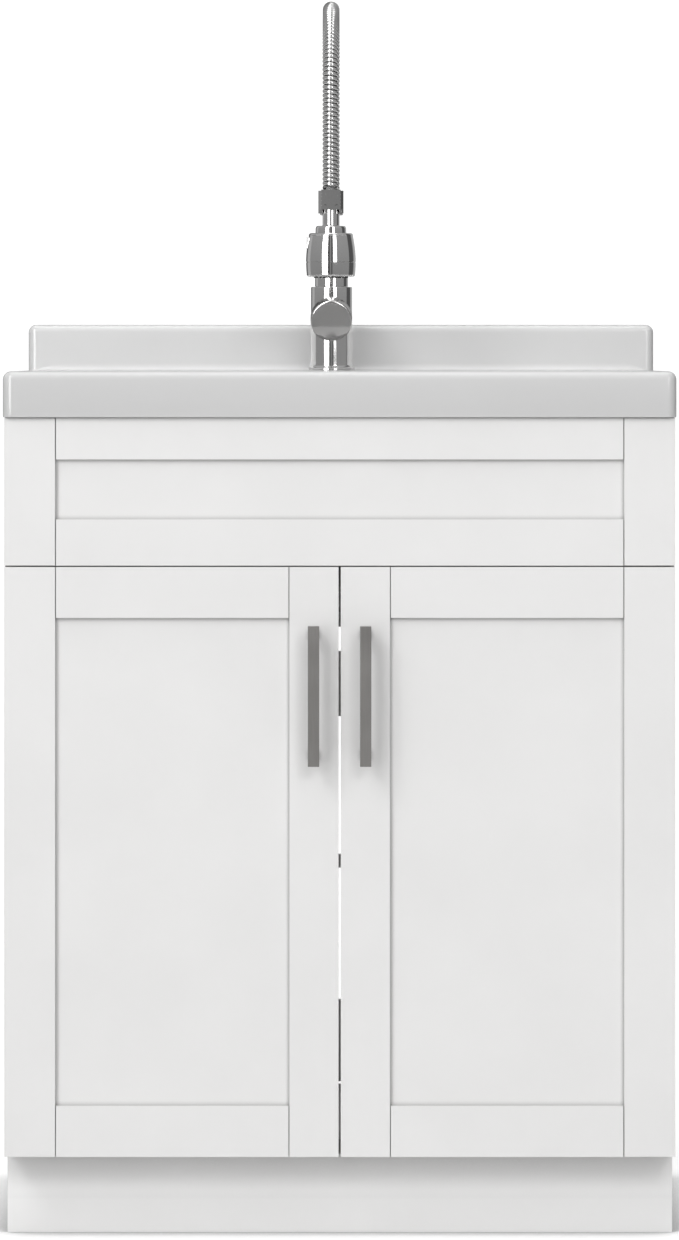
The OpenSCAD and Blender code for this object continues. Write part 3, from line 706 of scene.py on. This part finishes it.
def base_ring():
    low, high = span("faucet_base_ring")
    r = (high.x - low.x) / 2
    bore = span("faucet_shank")[1].x - FAUCET.translation.x + 0.3
    profile = [(bore, low.z), (r - 0.4, low.z), (r, low.z + 0.4), (r, low.z + 1.2)]
    profile += arc(r + 1.6, high.z + 0.4, 3.6, 250, 180, 6)
    profile = [p for p in profile if p[1] < high.z - 0.3]
    profile += [(r - 1.9, high.z), (bore, high.z)]
    place(turned("base_ring", profile, FAUCET), "cabinet", CHROME, ["faucet_base_ring"])


def column():
    """The column with its forward boss, bored for the cartridge."""
    low, high = span("faucet_column")
    r = (high.x - low.x) / 2
    top = span("spout_collar")[0].z - 0.3
    profile = [(0, low.z), (r - 0.3, low.z), (r, low.z + 0.3)]
    profile += arc(r - 0.9, top - 0.9, 0.9, 0, 90, 4)
    profile += [(15, top), (15, high.z - 0.5), (14.5, high.z), (0, high.z)]
    obj = turned("column", profile, FAUCET, 128)
    knob_z = middle_of("mixing_cartridge").z
    forward = FAUCET @ shift(knob_z) @ Matrix.Rotation(math.radians(90), 4, "X")
    length = FAUCET.translation.y - low.y
    boss = turned("boss", [(0, 0), (20, 0)] + arc(19.3, length - 0.7, 0.7, 0, 90, 3)
                  + [(0, length)], forward, 128)
    combine(obj, [boss], "UNION")
    bore = turned("bore", [(0, -14), (17, -14), (17, length + 5), (0, length + 5)], forward, 96)
    socket = turned("socket", [(0, low.z - 1), (13.95, low.z - 1),
                               (13.95, low.z + 10), (0, low.z + 10)], FAUCET)
    tunnel = turned("tunnel", [(0, low.z + 5), (5, low.z + 5),
                               (5, high.z + 5), (0, high.z + 5)], FAUCET, 48)
    combine(obj, [bore, socket, tunnel], "DIFFERENCE")
    place(obj, "cabinet", CHROME, ["faucet_column"])


def collar():
    low, high = span("spout_collar")
    r = (high.x - low.x) / 2
    profile = [(15.06, low.z), (r - 0.4, low.z), (r, low.z + 0.4)]
    profile += arc(r - 1.2, high.z - 1.2, 1.2, 0, 90, 5)
    profile += [(6.05, high.z), (6.05, low.z + 8.6), (15.06, low.z + 8.6)]
    obj = turned("collar", profile, FAUCET)
    holes = []
    for side in (-40, 40):
        turn = FAUCET @ Matrix.Rotation(math.radians(side), 4, "Z") @ shift(low.z + 10.6)
        out = turn @ Matrix.Rotation(math.radians(90), 4, "X")
        holes.append(turned("hole", [(0, r - 2.5), (1.5, r - 2.5),
                                     (1.5, r + 3), (0, r + 3)], out, 24))
    combine(obj, holes, "DIFFERENCE")
    place(obj, "spout", CHROME, ["spout_collar"])


def riser():
    low, high = span("riser_tube")
    r = (high.x - low.x) / 2
    profile = [(6.3, low.z), (r, low.z)] + arc(r - 0.6, high.z - 0.6, 0.6, 0, 90, 3)
    profile += [(6.3, high.z)]
    place(turned("riser", profile, FAUCET, 64), "spout", CHROME, ["riser_tube"])


def arm():
    """The arm, whose collar clamps round the riser."""
    low, high = span("holder_arm")
    r = (high.x - low.x) / 2
    bore = span("riser_tube")[1].x - FAUCET.translation.x + 0.05
    profile = [(bore, low.z)] + arc(r - 1.2, low.z + 1.2, 1.2, -90, 0, 4)
    profile += arc(r - 1.2, high.z - 1.2, 1.2, 0, 90, 4) + [(bore, high.z)]
    obj = turned("arm", profile, FAUCET)
    middle = span("dock_clip")[0].z / 2 + span("dock_clip")[1].z / 2
    forward = FAUCET @ shift(middle) @ Matrix.Rotation(math.radians(90), 4, "X")
    end = FAUCET.translation.y - low.y
    rod = turned("rod", [(0, bore + 1), (5, bore + 1), (5, end), (0, end)], forward, 48)
    combine(obj, [rod], "UNION")
    place(obj, "spout", CHROME, ["holder_arm"])


def coil():
    """The neck spring, wound as a helix along the arch."""
    wire_r, flat_r, coil_r, pitch = 2.0, 2.35, 7.4, 4.85
    steps, sides = 22, 8
    front_z = span("dock_clip")[1].z + wire_r
    back_z = span("riser_tube")[1].z + wire_r
    arch_z = span("neck_spring")[1].z - ARCH_R - (span("neck_spring")[1].x - FAUCET.translation.x)
    back = arch_z - back_z
    front = arch_z - front_z
    length = back + math.pi * ARCH_R + front
    fx, fy = FAUCET.translation.x, FAUCET.translation.y

    def guide(s):
        """The point on the arch at a length s from its back end, and the way out of the arch."""
        if s < back:
            return Vector((fx, fy, back_z + s)), Vector((0, 1, 0))
        if s > length - front:
            return Vector((fx, fy - 2 * ARCH_R, front_z + length - s)), Vector((0, -1, 0))
        angle = (s - back) / ARCH_R
        out = Vector((0, math.cos(angle), math.sin(angle)))
        return Vector((fx, fy - ARCH_R, arch_z)) + out * ARCH_R, out

    def wire(s):
        centre, out = guide(s)
        turn = 2 * math.pi * s / pitch
        return centre + coil_r * (math.cos(turn) * out + math.sin(turn) * Vector((1, 0, 0)))

    turns = int(length / pitch * steps)
    rings = []
    for i in range(turns + 1):
        s = i * pitch / steps
        here = wire(s)
        along = (wire(s + 0.05) - wire(s - 0.05)).normalized()
        inward = (guide(s)[0] - here).normalized()
        across = along.cross(inward).normalized()
        inward = across.cross(along)
        ring = []
        for k in range(sides):
            angle = 2 * math.pi * k / sides
            ring.append(here + flat_r * math.cos(angle) * across
                        + wire_r * math.sin(angle) * inward)
        rings.append(ring)
    points, faces = loft(rings, caps=(True, True))
    obj = new_mesh("coil", points, faces, 80)
    place(obj, "spout", WIRE, ["neck_spring"])


def spray_head():
    """The neck, the barrel, the face with its nozzles and the button."""
    neck_low, neck_high = span("spray_neck")
    low, high = span("spray_barrel")
    r = (high.x - low.x) / 2
    shoulder = neck_low.z + 8
    profile = [(3.5, neck_low.z), (17, neck_low.z), (16.9, shoulder - 3)]
    profile += arc(14.6, shoulder - 1.9, 1.9, 10, 90, 5) + [(10.4, shoulder)]
    profile += arc(10.4, shoulder + 1.2, 1.2, 270, 180, 4) + [(9.2, shoulder + 4)]
    profile += arc(8.4, neck_high.z - 0.8, 0.8, 0, 90, 3)
    profile += [(5.45, neck_high.z), (5.45, neck_high.z - 24), (3.5, neck_high.z - 24)]
    neck = turned("neck", profile, SPRAY)
    place(neck, "spray_head", CHROME, ["spray_neck"])

    seam = low.z + 16
    profile = [(0, low.z + 12), (21, low.z + 12), (21, low.z + 0.6), (21.6, low.z)]
    profile += arc(r - 3.0, low.z + 2.2, 2.2, -90, 0, 6)
    profile += [(r - 0.45, low.z + 6), (r - 0.2, low.z + 11), (r - 0.1, seam - 0.6),
                (r - 0.5, seam - 0.3), (r - 0.5, seam + 0.3), (r, seam + 0.6)]
    crown = 7
    for k in range(1, crown + 1):
        share = k / crown
        profile.append((r - 3.2 * share ** 1.8, seam + 0.6 + (high.z - 3.4 - seam) * share))
    profile += arc(r - 5.6, high.z - 2.6, 2.6, 10, 90, 6) + [(0, high.z)]
    obj = turned("barrel", profile, SPRAY, 128, 24)
    button_low, button_high = span("spray_button")
    gap = 0.25
    slot_low = (button_low.x - 8, button_low.y - gap, button_low.z - gap)
    slot_high = (button_high.x + 3, button_high.y + gap, button_high.z + gap)
    way = turned("way", [(0, low.z), (3.5, low.z), (3.5, high.z + 1), (0, high.z + 1)], SPRAY, 48)
    combine(obj, [block("slot", slot_low, slot_high), way], "DIFFERENCE", 24)
    place(obj, "spray_head", CHROME, ["spray_barrel"])

    button = block("button", button_low, button_high)
    bevel(button, 1.4, 4)
    place(button, "spray_button", CHROME, ["spray_button"])
    finish_node("spray_face", NOZZLE)


def knob():
    """The knob, tilted with its stem, with the lower part of its face cut back."""
    pivot = middle_of("knob_pin")
    axis = Matrix.Translation(pivot) @ Matrix.Rotation(math.radians(90 + KNOB_PITCH), 4, "X")
    r = (span("mixer_knob")[1].x - span("mixer_knob")[0].x) / 2
    back, front = KNOB_ENDS
    inner, outer = KNOB_EDGES
    profile = [(0, back)] + arc(r - inner, back + inner, inner, -90, 0, 4)
    profile += arc(r - outer, front - outer, outer, 0, 90, 8) + [(0, front)]
    obj = turned("knob", profile, axis, 128, 24)
    drop, slope = KNOB_CUT
    tilt = (axis @ Matrix.Translation((0, -drop, front))
            @ Matrix.Rotation(math.radians(slope), 4, "X"))
    cutter = block("cut", (-30, -40, 0), (30, 40, 40))
    cutter.data.transform(Matrix.Scale(MM, 4) @ tilt @ Matrix.Scale(1 / MM, 4))
    stem = turned("stem", [(0, 0), (STEM_R, 0), (STEM_R, STEM_LENGTH), (0, STEM_LENGTH)], axis, 48)
    bowl = [(DOME_R * math.sin(a), DOME_R * math.cos(a)) for a in (math.pi * k / 48 for k in range(49))]
    ball = turned("ball", list(reversed([(max(x, 0), z) for x, z in bowl])), axis, 96)
    combine(obj, [cutter, stem, ball], "DIFFERENCE", 24)
    place(obj, "knob", TURNED, ["mixer_knob"])


def faucet():
    base_ring()
    column()
    collar()
    riser()
    arm()
    coil()
    spray_head()
    knob()
    finish_node("dock_clip", CHROME, 0.35)
    finish_node("spray_hose", HOSE)
    finish_node("hose_end", HOSE)
    finish_node("mixing_cartridge", WHITE_PLASTIC)
    finish_node("faucet_shank", BRASS)
    finish_node("mounting_nut", BRASS)
    finish_node("knob_spindle", BRASS)
    finish_node("knob_pin", ZINC)
    finish_node("knob_stem", CHROME)


camera()
floor()
world()
lights()
cabinet()
sink()
faucet()

bpy.context.scene.view_settings.view_transform = "Standard"
bpy.context.scene.view_settings.look = "None"
